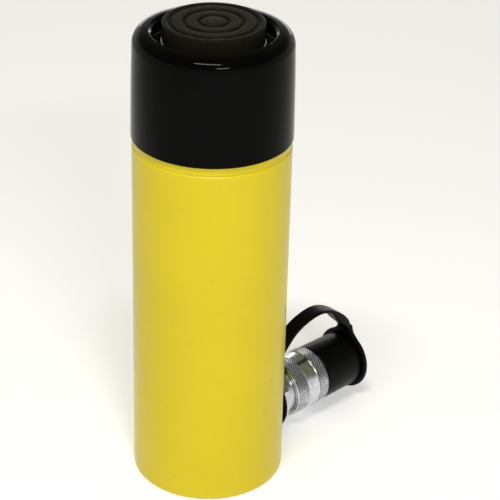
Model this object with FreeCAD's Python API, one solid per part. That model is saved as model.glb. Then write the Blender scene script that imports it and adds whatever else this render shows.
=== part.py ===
import FreeCAD, Part
import math
import os

# Single acting hydraulic cylinder with spring return. Millimetres, +Z up.
# The origin is the centre of the base face, and the coupler points along +X.

# Body: one forging, bored from the top
body_wall = 10.5
base_edge_radius = 1.4
shoulder_radius = 1.6
neck_step = 0.6
neck_length = 4.6
collar_thread_step = 0.95
collar_thread_length = 49.3
collar_thread_chamfer = 1.5

# Plunger and its piston head
stroke = 158.0
plunger_d = 57.1
plunger_step = 3.95
plunger_stick_out = 4.5
plunger_edge_radius = 1.6
head_gap = 0.3
stop_gap = 0.3
foot_inset = 2.5
foot_width = 4.5
foot_relief = 2.0
head_chamfer = 2.0
head_land = 3.2
spring_cavity_gap = 2.25
cavity_corner_radius = 1.0
crown_thickness = 10.0
screw_hole_gap = 0.2
saddle_thread_bore_d = 36.4

# Rings on the piston head
running_gap = 0.08
seat_gap = 0.05
seal_groove_start = 6.0
seal_height = 8.0
seal_groove_depth = 5.0
seal_lip_width = 1.2
backup_height = 2.5
ring_land = 7.5
band_height = 10.0
band_groove_depth = 2.3

# Stop ring screwed into the mouth of the bore
stop_thread_depth = 2.5
stop_ring_gap = 0.35
stop_ring_chamfer = 1.0
guide_groove_start = 5.5
guide_height = 12.0
guide_thickness = 1.9
guide_land = 7.5
wiper_pocket_depth = 5.0
wiper_thickness = 2.4
wiper_lip = 0.8
spanner_slot_width = 6.0
spanner_slot_depth = 3.0

# Return spring inside the plunger, with a plug at each end
spring_wire_d = 4.5
spring_mean_d = 25.0
spring_turns = 19
spring_end_gap = 0.2
plug_flange_overhang = 0.75
plug_flange_height = 3.0
plug_core_height = 16.0
plug_core_gap = 0.25
plug_stud_d = 12.0
plug_stud_length = 11.0
screw_d = 10.0
screw_head_d = 16.0
screw_head_height = 10.0
screw_head_gap = 3.0
screw_reach = 15.0
hex_key_size = 8.0
hex_key_depth = 5.0

# Saddle with its rings
saddle_inset = 1.55
saddle_height = 10.0
saddle_edge_radius = 1.4
saddle_foot_chamfer = 0.8
saddle_groove_margin = 3.75
saddle_groove_pitch = 7.75
saddle_groove_width = 2.0
saddle_groove_depth = 1.0
saddle_groove_lip = 0.35
saddle_shank_gap = 0.3
saddle_shank_length = 12.0
saddle_shank_chamfer = 1.0
saddle_ring_section = 1.6
saddle_ring_height = 6.0

# Moulded thread protector
protector_gap = 0.1
protector_bottom_wall = 1.65
protector_top_wall = 0.95
protector_foot_gap = 0.1
protector_top_rise = 10.3
protector_corner_radius = 9.0
protector_opening_gap = 5.2
protector_lip_drop = 1.4
protector_lip_run = 1.8
protector_ceiling = 4.6
protector_seat_width = 3.0

# Mounting holes in the base
mount_circle_inset = 13.65
mount_hole_d = 10.8
mount_hole_depth = 19.0

# Oil port in the side of the body
coupler_z = 22.0
port_d = 17.0
port_depth = 12.5
port_roof = 2.5
port_chamfer = 1.0
passage_d = 6.0
passage_inset = 22.0

# Check valve in the coupler
ball_d = 12.0
ball_gap = 0.1
ball_side_gap = 1.2
seat_bite = 1.4
seat_length = 8.0
seat_cone_length = 2.8
seat_edge = 0.15
seat_chamfer = 0.5
check_wire_d = 1.2
check_spring_inset = 1.6
check_spring_turns = 6

# Coupler body, measured out from the side of the port
stub_gap = 0.1
stub_end_gap = 0.5
stub_chamfer = 1.0
hex_room = 0.6
hex_overhang = 0.5
hex_length = 6.0
journal_step = 2.0
journal_length = 8.0
nose_wall = 5.3
nose_length = 19.0
nose_chamfer = 1.2
inlet_d = 9.0
chamber_floor = 1.5
snap_ring_width = 1.5
snap_ring_reach = 1.8
snap_groove_depth = 1.2
snap_ring_opening = 34.0
nose_seal_section = 2.1
nose_seal_reach = 0.2
nose_seal_inset = 4.8

# Knurled collar that spins on the coupler body
collar_start = 5.2
collar_wall = 2.35
rear_knurl_length = 9.2
name_band_length = 8.1
front_knurl_length = 8.4
name_band_depth = 0.6
collar_chamfer = 0.8
collar_mouth_chamfer = 0.6
spin_gap = 0.3
collar_rib_length = 5.4
shank_room = 2.7

# Rubber dust cap over the nose
cap_gap = 0.3
cap_bore_gap = 0.4
cap_root_step = 1.9
cap_root_radius = 0.6
cap_taper = 0.3
cap_length = 28.0
cap_shank_gap = 0.7
cap_shank_chamfer = 0.4
cap_end_wall = 4.0
cap_edge_radius = 0.9
cap_stud_d = 14.0
cap_button_rim = 3.5
cap_button_thickness = 2.6

# Moulded strap: an eye on the stub, a looped band, an eye on the cap
eye_gap = 0.3
neck_eye_d = 40.0
neck_eye_thickness = 2.0
neck_eye_offset = 0.4
end_eye_rim = 2.5
end_eye_thickness = 2.8
end_fillet = 5.0
band_width = 10.0
band_thickness = 2.0
band_gusset = 2.2
band_rise = 44.4
band_root = 3.0

# Values that follow from the sizes above
plunger_r = plunger_d / 2
bore_r = plunger_r + plunger_step
body_r = bore_r + body_wall
neck_r = body_r - neck_step
thread_r = body_r - collar_thread_step
base_thickness = coupler_z + port_d / 2 + port_roof
seal_groove_end = seal_groove_start + seal_height + backup_height
band_groove_start = seal_groove_end + ring_land
head_height = band_groove_start + band_height + head_land
head_top = base_thickness + head_height
stop_bottom = head_top + stop_gap + stroke
stop_ring_height = guide_groove_start + guide_height + guide_land + wiper_pocket_depth
body_height = stop_bottom + stop_ring_height
thread_bottom = body_height - collar_thread_length
shoulder_z = thread_bottom - neck_length
plunger_top = body_height + plunger_stick_out
head_r = bore_r - head_gap
ring_outer_r = bore_r - running_gap
seal_groove_r = bore_r - seal_groove_depth
band_groove_r = bore_r - band_groove_depth
foot_outer_r = bore_r - foot_inset
stop_thread_r = bore_r + stop_thread_depth
crown_top = plunger_top - saddle_shank_length - screw_head_gap - screw_head_height
crown_bottom = crown_top - crown_thickness
saddle_r = plunger_r - saddle_inset
saddle_bore_r = saddle_thread_bore_d / 2
spring_outer_r = (spring_mean_d + spring_wire_d) / 2
mount_circle_r = body_r - mount_circle_inset
passage_x = body_r - passage_inset
chamber_r = ball_d / 2 + ball_side_gap
seat_opening_r = ball_d / 2 - seat_bite
check_spring_r = ball_d / 2 - check_spring_inset
nose_r = chamber_r + nose_wall
journal_r = nose_r + journal_step
hex_size = 2 * (journal_r + hex_overhang)
collar_bore_r = nose_r + shank_room
collar_r = collar_bore_r + collar_wall
cap_root_r = collar_bore_r + cap_root_step
cap_tip_r = cap_root_r - cap_taper
end_eye_r = cap_tip_r + end_eye_rim
neck_eye_x = body_r + neck_eye_offset
hex_x = neck_eye_x + neck_eye_thickness + hex_room
journal_x = hex_x + hex_length
nose_x = journal_x + journal_length
nose_tip = nose_x + nose_length
snap_x = nose_x + collar_rib_length + 2 * spin_gap
seat_x = nose_tip - seat_length
collar_x = journal_x + collar_start
collar_end = collar_x + rear_knurl_length + name_band_length + front_knurl_length
cap_x = collar_end + cap_gap
cap_end = cap_x + cap_length
end_eye_x = cap_end + cap_gap
Z_AXIS = FreeCAD.Vector(0, 0, 1)
X_AXIS = FreeCAD.Vector(1, 0, 0)


def point(x, y, z):
    return FreeCAD.Vector(x, y, z)


def on_body(radius, height):
    # a profile point of a piece turned about the cylinder's axis
    return point(radius, 0, height)


def on_coupler(along, radius):
    # a profile point of a piece turned about the coupler's axis
    return point(along, 0, coupler_z + radius)


def profile_face(corners, place):
    # a closed profile; a corner with a third value is rounded to that radius
    entries = []
    exits = []
    arcs = []
    count = len(corners)
    for number, corner in enumerate(corners):
        here = place(corner[0], corner[1])
        if len(corner) < 3:
            entries.append(here)
            exits.append(here)
            arcs.append(None)
            continue
        before = corners[number - 1]
        after = corners[(number + 1) % count]
        back = (place(before[0], before[1]) - here).normalize()
        ahead = (place(after[0], after[1]) - here).normalize()
        half = back.getAngle(ahead) / 2
        middle = (back + ahead).normalize()
        run = corner[2] / math.tan(half)
        centre = here + middle * (corner[2] / math.sin(half))
        entries.append(here + back * run)
        exits.append(here + ahead * run)
        arcs.append(centre - middle * corner[2])
    edges = []
    for number in range(count):
        if arcs[number] is not None:
            arc = Part.Arc(entries[number], arcs[number], exits[number])
            edges.append(arc.toShape())
        following = (number + 1) % count
        if exits[number].distanceToPoint(entries[following]) > 1e-6:
            edges.append(Part.makeLine(exits[number], entries[following]))
    return Part.Face(Part.Wire(edges))


def turned(corners):
    # a solid turned about the cylinder's axis from (radius, height) corners
    return profile_face(corners, on_body).revolve(point(0, 0, 0), Z_AXIS, 360)


def turned_on_coupler(corners):
    # a solid turned about the coupler's axis from (along, radius) corners
    return profile_face(corners, on_coupler).revolve(point(0, 0, coupler_z), X_AXIS, 360)


def ring(inner_r, outer_r, bottom, top):
    return turned([(inner_r, bottom), (outer_r, bottom), (outer_r, top), (inner_r, top)])


def upright_drill(x, y, bottom, top, diameter):
    return Part.makeCylinder(diameter / 2, top - bottom, point(x, y, bottom), Z_AXIS)


def cross_drill(start, end, diameter):
    return Part.makeCylinder(diameter / 2, end - start, point(start, 0, coupler_z), X_AXIS)


def hexagon(size, base, direction, length):
    # a hexagonal bar across flats size, with two corners in the plane of Y = 0
    corner_r = size / math.sqrt(3)
    corners = []
    for number in range(7):
        angle = math.radians(60 * number)
        if direction is Z_AXIS:
            corners.append(base + point(corner_r * math.cos(angle), corner_r * math.sin(angle), 0))
        else:
            corners.append(base + point(0, corner_r * math.sin(angle), corner_r * math.cos(angle)))
    return Part.Face(Part.makePolygon(corners)).extrude(direction * length)


def coil(mean_r, wire_r, turns, start, end):
    # a round wire wound about Z between two heights, end faces left square
    pitch = (end - start) / turns
    path = Part.makeHelix(pitch, end - start, mean_r)
    path.translate(point(0, 0, start))
    section = Part.makeCircle(wire_r, point(mean_r, 0, start), point(0, 1, 0))
    return Part.Wire(path.Edges).makePipeShell([Part.Wire([section])], True, True)


def cylinder_body():
    body = turned([
        (0, 0),
        (body_r, 0, base_edge_radius),
        (body_r, shoulder_z, shoulder_radius),
        (neck_r, shoulder_z),
        (neck_r, thread_bottom),
        (thread_r, thread_bottom),
        (thread_r, body_height - collar_thread_chamfer),
        (thread_r - collar_thread_chamfer, body_height),
        (stop_thread_r, body_height),
        (stop_thread_r, stop_bottom),
        (bore_r, stop_bottom),
        (bore_r, base_thickness),
        (0, base_thickness),
    ])
    for side in (-1, 1):
        body = body.cut(base_hole(side * mount_circle_r))
    return body.cut(oil_way()).cut(plug_hole())


def base_hole(y):
    # a tapped hole for holding the cylinder down, with its drill point
    radius = mount_hole_d / 2
    drill = upright_drill(0, y, 0, mount_hole_depth, mount_hole_d)
    tip = Part.makeCone(radius, 0, radius * 0.6, point(0, y, mount_hole_depth), Z_AXIS)
    return drill.fuse(tip)


def oil_way():
    # the side port, and the drilled way from it up through the bore floor
    mouth_x = body_r - port_chamfer
    port = cross_drill(body_r - port_depth, body_r + 1, port_d)
    mouth = Part.makeCone(port_d / 2, port_d / 2 + 2 * port_chamfer, 2 * port_chamfer,
                          point(mouth_x, 0, coupler_z), X_AXIS)
    way = cross_drill(passage_x, body_r - port_depth + 1, passage_d)
    rise = upright_drill(passage_x, 0, coupler_z, base_thickness + 1, passage_d)
    corner = Part.makeSphere(passage_d / 2, point(passage_x, 0, coupler_z))
    return port.fuse([mouth, way, rise, corner])


def plug_hole():
    return upright_drill(0, 0, base_thickness - plug_stud_length - 1, base_thickness + 1, plug_stud_d)


def plunger():
    foot = base_thickness
    relief = base_thickness + foot_relief
    seal_bottom = base_thickness + seal_groove_start
    seal_top = base_thickness + seal_groove_end
    band_bottom = base_thickness + band_groove_start
    band_top = band_bottom + band_height
    cavity_r = spring_outer_r + spring_cavity_gap
    hole_r = screw_d / 2 + screw_hole_gap
    foot_inner_r = foot_outer_r - foot_width
    return turned([
        (foot_inner_r, foot),
        (foot_outer_r, foot),
        (foot_outer_r, relief),
        (head_r - head_chamfer, relief),
        (head_r, relief + head_chamfer),
        (head_r, seal_bottom),
        (seal_groove_r, seal_bottom),
        (seal_groove_r, seal_top),
        (head_r, seal_top),
        (head_r, band_bottom),
        (band_groove_r, band_bottom),
        (band_groove_r, band_top),
        (head_r, band_top),
        (head_r, head_top),
        (plunger_r, head_top),
        (plunger_r, plunger_top, plunger_edge_radius),
        (saddle_bore_r + 1, plunger_top),
        (saddle_bore_r, plunger_top - 1),
        (saddle_bore_r, crown_top),
        (hole_r, crown_top),
        (hole_r, crown_bottom),
        (cavity_r, crown_bottom, cavity_corner_radius),
        (cavity_r, relief),
        (foot_inner_r, relief),
    ])


def piston_seal():
    # a cup seal, its two lips turned down to the oil
    inner = seal_groove_r + seat_gap
    bottom = base_thickness + seal_groove_start + seat_gap
    top = base_thickness + seal_groove_start + seal_height - seat_gap
    middle = (inner + ring_outer_r) / 2
    return turned([
        (inner, bottom),
        (inner + seal_lip_width, bottom),
        (middle, bottom + seal_height / 2, 0.4),
        (ring_outer_r - seal_lip_width, bottom),
        (ring_outer_r, bottom),
        (ring_outer_r, top),
        (inner, top),
    ])


def backup_ring():
    bottom = base_thickness + seal_groove_start + seal_height
    return ring(seal_groove_r + seat_gap, ring_outer_r, bottom, bottom + backup_height - seat_gap)


def piston_bearing():
    bottom = base_thickness + band_groove_start
    return ring(band_groove_r + seat_gap, ring_outer_r, bottom + seat_gap,
                bottom + band_height - seat_gap)


def stop_ring():
    outer = stop_thread_r - seat_gap
    inner = plunger_r + stop_ring_gap
    groove_r = plunger_r + guide_thickness
    pocket_r = plunger_r + wiper_thickness
    groove_bottom = stop_bottom + guide_groove_start
    body = turned([
        (inner, stop_bottom),
        (outer, stop_bottom),
        (outer, body_height - stop_ring_chamfer),
        (outer - stop_ring_chamfer, body_height),
        (pocket_r, body_height),
        (pocket_r, body_height - wiper_pocket_depth),
        (inner, body_height - wiper_pocket_depth),
        (inner, groove_bottom + guide_height),
        (groove_r, groove_bottom + guide_height),
        (groove_r, groove_bottom),
        (inner, groove_bottom),
    ])
    slot = Part.makeBox(spanner_slot_width, 2 * stop_thread_r, spanner_slot_depth + 1,
                        point(-spanner_slot_width / 2, -stop_thread_r, body_height - spanner_slot_depth))
    keep = Part.makeCylinder(pocket_r, body_height + 1)
    return body.cut(slot.cut(keep))


def guide_bearing():
    bottom = stop_bottom + guide_groove_start
    return ring(plunger_r + running_gap, plunger_r + guide_thickness - seat_gap, bottom + seat_gap,
                bottom + guide_height - seat_gap)


def rod_wiper():
    # a rubber scraper whose lip leans in on the plunger above the stop ring
    inner = plunger_r + running_gap
    outer = plunger_r + wiper_thickness - seat_gap
    bottom = body_height - wiper_pocket_depth
    return turned([
        (inner + 0.7, bottom),
        (outer, bottom),
        (outer, body_height - 0.8),
        (inner + 0.9, body_height + wiper_lip),
        (inner, body_height + wiper_lip),
        (inner, body_height - 0.6),
        (inner + 0.7, body_height - 1.8),
    ])


def spring_plug(flange_bottom, core_sign):
    # a turned plug: a flange, and a core that the end coils close round
    core_r = (spring_mean_d - spring_wire_d) / 2 - plug_core_gap
    flange_d = 2 * (spring_outer_r + plug_flange_overhang)
    flange = upright_drill(0, 0, flange_bottom, flange_bottom + plug_flange_height, flange_d)
    if core_sign > 0:
        start = flange_bottom + plug_flange_height
    else:
        start = flange_bottom - plug_core_height
    return flange.fuse(upright_drill(0, 0, start, start + plug_core_height, 2 * core_r))


def spring_base_plug():
    # screwed into the bore floor
    stud = upright_drill(0, 0, base_thickness - plug_stud_length, base_thickness, plug_stud_d - 2 * seat_gap)
    top = base_thickness + plug_flange_height + plug_core_height
    key = hexagon(hex_key_size, point(0, 0, top - hex_key_depth), Z_AXIS, hex_key_depth + 1)
    return spring_plug(base_thickness, 1).fuse(stud).cut(key)


def spring_head_plug():
    # hung under the plunger's crown by a cap screw
    bottom = crown_bottom - plug_flange_height
    hole = upright_drill(0, 0, crown_bottom - screw_reach - 2, crown_bottom + 1, screw_d + 2 * seat_gap)
    return spring_plug(bottom, -1).cut(hole)


def spring_screw():
    shank = upright_drill(0, 0, crown_bottom - screw_reach, crown_top, screw_d)
    head = Part.makeCylinder(screw_head_d / 2, screw_head_height, point(0, 0, crown_top), Z_AXIS)
    top = crown_top + screw_head_height
    key = hexagon(hex_key_size, point(0, 0, top - hex_key_depth), Z_AXIS, hex_key_depth + 1)
    return shank.fuse(head).cut(key)


def return_spring():
    # an extension spring between the two plug flanges
    end_room = spring_wire_d / 2 + spring_end_gap
    start = base_thickness + plug_flange_height + end_room
    end = crown_bottom - plug_flange_height - end_room
    return coil(spring_mean_d / 2, spring_wire_d / 2, spring_turns, start, end)


def saddle():
    # a loose steel pad with concentric grooves, its shank down the plunger's thread
    top = plunger_top + saddle_height
    shank_r = saddle_bore_r - saddle_shank_gap
    groove_middle = plunger_top - saddle_ring_height
    groove_half = saddle_ring_section / 2 + seat_gap
    groove_bottom = shank_r - saddle_ring_section + saddle_shank_gap - seat_gap * 2
    pad = turned([
        (0, plunger_top - saddle_shank_length),
        (shank_r - saddle_shank_chamfer, plunger_top - saddle_shank_length),
        (shank_r, plunger_top - saddle_shank_length + saddle_shank_chamfer),
        (shank_r, groove_middle - groove_half),
        (groove_bottom, groove_middle - groove_half),
        (groove_bottom, groove_middle + groove_half),
        (shank_r, groove_middle + groove_half),
        (shank_r, plunger_top),
        (saddle_r - saddle_foot_chamfer, plunger_top),
        (saddle_r, plunger_top + saddle_foot_chamfer),
        (saddle_r, top, saddle_edge_radius),
        (0, top),
    ])
    outermost = saddle_r - saddle_groove_margin
    for number in range(int(outermost / saddle_groove_pitch + 0.01)):
        pad = pad.cut(saddle_groove(outermost - number * saddle_groove_pitch, top))
    return pad


def saddle_groove(middle, top):
    # a round-bottomed groove with softened lips
    half = saddle_groove_width / 2
    lip = saddle_groove_lip
    return turned([
        (middle - half - lip, top + 1),
        (middle - half - lip, top),
        (middle - half, top - lip),
        (middle - half * 0.8, top - saddle_groove_depth, 0.3),
        (middle + half * 0.8, top - saddle_groove_depth, 0.3),
        (middle + half, top - lip),
        (middle + half + lip, top),
        (middle + half + lip, top + 1),
    ])


def saddle_retaining_ring():
    radius = saddle_ring_section / 2
    middle_r = saddle_bore_r - seat_gap - radius
    return Part.makeTorus(middle_r, radius, point(0, 0, plunger_top - saddle_ring_height), Z_AXIS)


def thread_protector():
    bottom = thread_bottom + protector_foot_gap
    top = body_height + protector_top_rise
    opening_r = saddle_r + protector_opening_gap
    inner_r = thread_r + protector_gap
    lip_top = top - protector_lip_drop
    ceiling = top - protector_ceiling
    return turned([
        (inner_r, bottom + 0.9),
        (inner_r + 0.6, bottom),
        (thread_r + protector_bottom_wall, bottom, 0.5),
        (thread_r + protector_top_wall, top, protector_corner_radius),
        (opening_r + protector_lip_run, top - 0.3),
        (opening_r, lip_top, 0.8),
        (opening_r, ceiling),
        (inner_r - protector_seat_width, ceiling, 2.0),
        (inner_r - protector_seat_width, body_height),
        (inner_r, body_height),
    ])


def coupler_body():
    # one turned bar: tapered stub, hexagon, journal, nose with a drilled valve chamber
    stub_x = body_r - port_depth + stub_end_gap
    stub_r = port_d / 2 - stub_gap
    groove_r = nose_r - snap_groove_depth
    seal_x = nose_tip - nose_seal_inset
    seal_r = nose_r + nose_seal_reach - nose_seal_section
    chamber_x = hex_x + chamber_floor
    turned_bar = turned_on_coupler([
        (stub_x, inlet_d / 2),
        (stub_x, stub_r - stub_chamfer),
        (stub_x + stub_chamfer, stub_r),
        (journal_x - 1, stub_r),
        (journal_x - 1, journal_r),
        (nose_x, journal_r),
        (nose_x, nose_r),
        (snap_x, nose_r),
        (snap_x, groove_r),
        (snap_x + snap_ring_width + 2 * seat_gap, groove_r),
        (snap_x + snap_ring_width + 2 * seat_gap, nose_r),
        (seal_x, nose_r),
        (seal_x, seal_r),
        (seal_x + nose_seal_section + 2 * seat_gap, seal_r),
        (seal_x + nose_seal_section + 2 * seat_gap, nose_r),
        (nose_tip - nose_chamfer, nose_r),
        (nose_tip, nose_r - nose_chamfer),
        (nose_tip, chamber_r),
        (chamber_x, chamber_r),
        (chamber_x, inlet_d / 2),
    ])
    return turned_bar.fuse(hexagon_nut()).removeSplitter()


def hexagon_nut():
    # the hexagon, its corners turned off to a 30 degree bevel at both ends
    corner_r = hex_size / math.sqrt(3)
    bevel = (corner_r - hex_size / 2) * math.tan(math.radians(30))
    bar = hexagon(hex_size, point(hex_x, 0, coupler_z), X_AXIS, hex_length)
    envelope = turned_on_coupler([
        (hex_x, chamber_r + 1.0),
        (hex_x, hex_size / 2),
        (hex_x + bevel, corner_r),
        (journal_x - bevel, corner_r),
        (journal_x, hex_size / 2),
        (journal_x, chamber_r + 1.0),
    ])
    return bar.common(envelope)


def coupler_collar():
    # a sleeve with two raised bands for the knurl and a plain band between
    outer = collar_r
    plain = outer - name_band_depth
    band_start = collar_x + rear_knurl_length
    band_end = band_start + name_band_length
    lip_r = journal_r + spin_gap
    rib_start = nose_x + spin_gap
    rib_end = rib_start + collar_rib_length
    rib_r = nose_r + spin_gap
    return turned_on_coupler([
        (collar_x, lip_r),
        (collar_x, outer - collar_chamfer),
        (collar_x + collar_chamfer, outer),
        (band_start - name_band_depth, outer),
        (band_start, plain),
        (band_end, plain),
        (band_end + name_band_depth, outer),
        (collar_end - collar_chamfer, outer),
        (collar_end, outer - collar_chamfer),
        (collar_end, collar_bore_r + collar_mouth_chamfer),
        (collar_end - collar_mouth_chamfer, collar_bore_r),
        (rib_end, collar_bore_r),
        (rib_end, rib_r),
        (rib_start, rib_r),
        (rib_start, lip_r),
    ])


def collar_snap_ring():
    # an open wire ring that keeps the collar from sliding off
    start = snap_x + seat_gap
    inner = nose_r - snap_groove_depth + seat_gap
    outer = nose_r + snap_ring_reach
    whole = turned_on_coupler([
        (start, inner),
        (start, outer),
        (start + snap_ring_width, outer),
        (start + snap_ring_width, inner),
    ])
    half_opening = outer * math.tan(math.radians(snap_ring_opening / 2))
    mouth = Part.makePolygon([
        point(start - 1, 0, coupler_z),
        point(start - 1, half_opening * 1.2, coupler_z - outer * 1.2),
        point(start - 1, -half_opening * 1.2, coupler_z - outer * 1.2),
        point(start - 1, 0, coupler_z),
    ])
    return whole.cut(Part.Face(mouth).extrude(X_AXIS * (snap_ring_width + 2)))


def coupler_seal():
    radius = nose_seal_section / 2
    middle_r = nose_r + nose_seal_reach - radius + seat_gap
    along = nose_tip - nose_seal_inset + radius + seat_gap
    return Part.makeTorus(middle_r, radius, point(along, 0, coupler_z), X_AXIS)


def valve_seat():
    # pressed into the nose; the ball closes on its cone
    outer = chamber_r - seat_gap
    return turned_on_coupler([
        (seat_x, outer - seat_edge),
        (seat_x, outer),
        (nose_tip, outer),
        (nose_tip, seat_opening_r + seat_chamfer),
        (nose_tip - seat_chamfer, seat_opening_r),
        (seat_x + seat_cone_length, seat_opening_r),
    ])


def ball_centre():
    # where a ball rests a hair off the seat's cone
    wide = chamber_r - seat_gap - seat_edge
    drop = wide - seat_opening_r
    slope = math.hypot(seat_cone_length, drop)
    reach = (wide * seat_cone_length - (ball_d / 2 + ball_gap) * slope) / drop
    return seat_x + reach


def check_ball():
    return Part.makeSphere(ball_d / 2, point(ball_centre(), 0, coupler_z))


def check_spring():
    # a small compression spring behind the ball
    start = hex_x + chamber_floor + check_wire_d / 2 + seat_gap
    contact = math.sqrt((ball_d / 2) ** 2 - check_spring_r ** 2)
    end = ball_centre() - contact - check_wire_d * 0.9
    wound = coil(check_spring_r, check_wire_d / 2, check_spring_turns, start, end)
    wound.rotate(point(0, 0, 0), point(0, 1, 0), 90)
    wound.translate(point(0, 0, coupler_z))
    return wound


def dust_cap():
    # a hollow moulded cap; a stud and button on its end hold the strap's eye
    shank_r = collar_bore_r - cap_gap
    inner_r = nose_r + cap_bore_gap
    shank_start = snap_x + snap_ring_width + 2 * seat_gap + cap_shank_gap
    stud_r = cap_stud_d / 2
    button_r = stud_r + cap_button_rim
    hollow_end = cap_end - cap_end_wall
    button_x = end_eye_x + end_eye_thickness + cap_gap
    button_end = button_x + cap_button_thickness
    return turned_on_coupler([
        (shank_start, inner_r),
        (shank_start, shank_r - cap_shank_chamfer),
        (shank_start + cap_shank_chamfer, shank_r),
        (cap_x, shank_r),
        (cap_x, cap_root_r, cap_root_radius),
        (cap_end, cap_tip_r, cap_edge_radius),
        (cap_end, stud_r),
        (button_x, stud_r),
        (button_x, button_r, 0.5),
        (button_end, button_r - 1.2, 1.2),
        (button_end, 0),
        (hollow_end, 0),
        (hollow_end, inner_r, 2.0),
    ])


def neck_eye():
    disc = cross_drill(neck_eye_x, neck_eye_x + neck_eye_thickness, neck_eye_d)
    return disc.cut(cross_drill(neck_eye_x - 1, neck_eye_x + neck_eye_thickness + 1, port_d + 2 * eye_gap))


def end_eye():
    # a disc drawn up with a fillet on each side into the width of the band
    half = band_width / 2
    fillet_y = half + end_fillet
    fillet_z = math.sqrt((end_eye_r + end_fillet) ** 2 - fillet_y ** 2)
    share = end_eye_r / (end_eye_r + end_fillet)
    foot = fillet_z * share
    plate = cross_drill(end_eye_x, end_eye_x + end_eye_thickness, 2 * end_eye_r)
    tab = Part.makeBox(end_eye_thickness, 2 * fillet_y * share, fillet_z - foot,
                       point(end_eye_x, -fillet_y * share, coupler_z + foot))
    for side in (-1, 1):
        place = point(end_eye_x - 1, side * fillet_y, coupler_z + fillet_z)
        tab = tab.cut(Part.makeCylinder(end_fillet, end_eye_thickness + 2, place, X_AXIS))
    hole = cross_drill(end_eye_x - 1, end_eye_x + end_eye_thickness + 1, cap_stud_d + 2 * eye_gap)
    return plate.fuse(tab).cut(hole)


def strap_band():
    # the band leaves the neck eye upright, arches over the cap and comes down on the end eye
    start_x = neck_eye_x + neck_eye_thickness / 2
    span = end_eye_x + end_eye_thickness / 2 - start_x
    start_z = coupler_z + neck_eye_d / 2 - band_root
    rise = coupler_z + band_rise - band_thickness / 2 - start_z
    last_share = (coupler_z + end_eye_r - start_z) / rise
    poles = [(0, 0), (0, 0.136), (0.147, 0.307), (0.268, 0.752), (0.43, 0.953),
             (0.623, 1.043), (0.776, 0.87), (0.952, 0.56), (0.981, 0.34), (1, last_share)]
    middle = Part.BSplineCurve()
    middle.buildFromPoles([point(start_x + span * along, 0, start_z + rise * up) for along, up in poles])
    upper = band_side(middle, band_thickness / 2, 0)
    lower = band_side(middle, -band_thickness / 2, -band_gusset)
    first = Part.makeLine(lower.StartPoint, upper.StartPoint)
    last = Part.makeLine(upper.EndPoint, lower.EndPoint)
    outline = Part.Wire([first, upper.toShape(), last, lower.toShape()])
    band = Part.Face(outline).extrude(point(0, band_width, 0))
    band.translate(point(0, -band_width / 2, 0))
    return band


def band_side(middle, offset, gusset):
    # one face of the band, set off from its middle line; a gusset thickens it where it turns down
    samples = 24
    points = []
    for number in range(samples + 1):
        share = number / samples
        where = middle.FirstParameter + (middle.LastParameter - middle.FirstParameter) * share
        along = middle.tangent(where)[0]
        swell = math.sin(math.pi * max(0, (share - 0.7) / 0.3))
        points.append(middle.value(where) + point(-along.z, 0, along.x) * (offset + gusset * swell))
    side = Part.BSplineCurve()
    side.interpolate(Points=points)
    return side


def cap_strap():
    return strap_band().fuse([neck_eye(), end_eye()]).removeSplitter()


PIECES = {
    "cylinder_body": cylinder_body,
    "plunger": plunger,
    "piston_seal": piston_seal,
    "backup_ring": backup_ring,
    "piston_bearing": piston_bearing,
    "stop_ring": stop_ring,
    "guide_bearing": guide_bearing,
    "rod_wiper": rod_wiper,
    "return_spring": return_spring,
    "spring_base_plug": spring_base_plug,
    "spring_head_plug": spring_head_plug,
    "spring_screw": spring_screw,
    "saddle": saddle,
    "saddle_retaining_ring": saddle_retaining_ring,
    "thread_protector": thread_protector,
    "coupler_body": coupler_body,
    "coupler_collar": coupler_collar,
    "collar_snap_ring": collar_snap_ring,
    "coupler_seal": coupler_seal,
    "valve_seat": valve_seat,
    "check_ball": check_ball,
    "check_spring": check_spring,
    "dust_cap": dust_cap,
    "cap_strap": cap_strap,
}

os.makedirs("parts", exist_ok=True)
for name, make in PIECES.items():
    shape = make()
    shape.exportStep("parts/" + name + ".step")
    print(name, len(shape.Solids), shape.isValid(), round(shape.Volume / 1000, 2), "cm3")
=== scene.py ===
import math

import bmesh
import bpy
from mathutils import Matrix, Vector


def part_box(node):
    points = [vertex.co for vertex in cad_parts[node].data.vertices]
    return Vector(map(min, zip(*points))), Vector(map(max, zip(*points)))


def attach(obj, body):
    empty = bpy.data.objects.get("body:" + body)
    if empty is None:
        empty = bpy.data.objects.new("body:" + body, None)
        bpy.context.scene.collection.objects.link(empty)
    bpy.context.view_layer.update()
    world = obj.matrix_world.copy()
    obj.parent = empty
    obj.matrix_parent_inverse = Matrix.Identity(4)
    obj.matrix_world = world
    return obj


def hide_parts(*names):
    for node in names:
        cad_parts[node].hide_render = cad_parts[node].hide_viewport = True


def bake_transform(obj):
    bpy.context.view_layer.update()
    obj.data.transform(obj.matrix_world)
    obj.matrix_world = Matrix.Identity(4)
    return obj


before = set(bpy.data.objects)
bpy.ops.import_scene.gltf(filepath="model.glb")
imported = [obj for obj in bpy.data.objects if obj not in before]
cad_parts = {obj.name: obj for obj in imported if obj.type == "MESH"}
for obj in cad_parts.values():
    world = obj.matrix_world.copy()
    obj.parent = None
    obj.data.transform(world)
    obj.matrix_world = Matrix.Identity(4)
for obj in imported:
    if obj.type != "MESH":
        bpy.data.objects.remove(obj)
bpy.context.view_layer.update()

bl_info = {
    "name": "Hydraulic cylinder dressing",
    "version": (1, 1, 0),
    "blender": (4, 5, 0),
    "location": "3D View > Sidebar > Cylinder",
    "description": "Builds the finished surfaces of a single acting hydraulic cylinder over its packed frame",
    "category": "Add Mesh",
}

MM = 0.001

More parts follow.
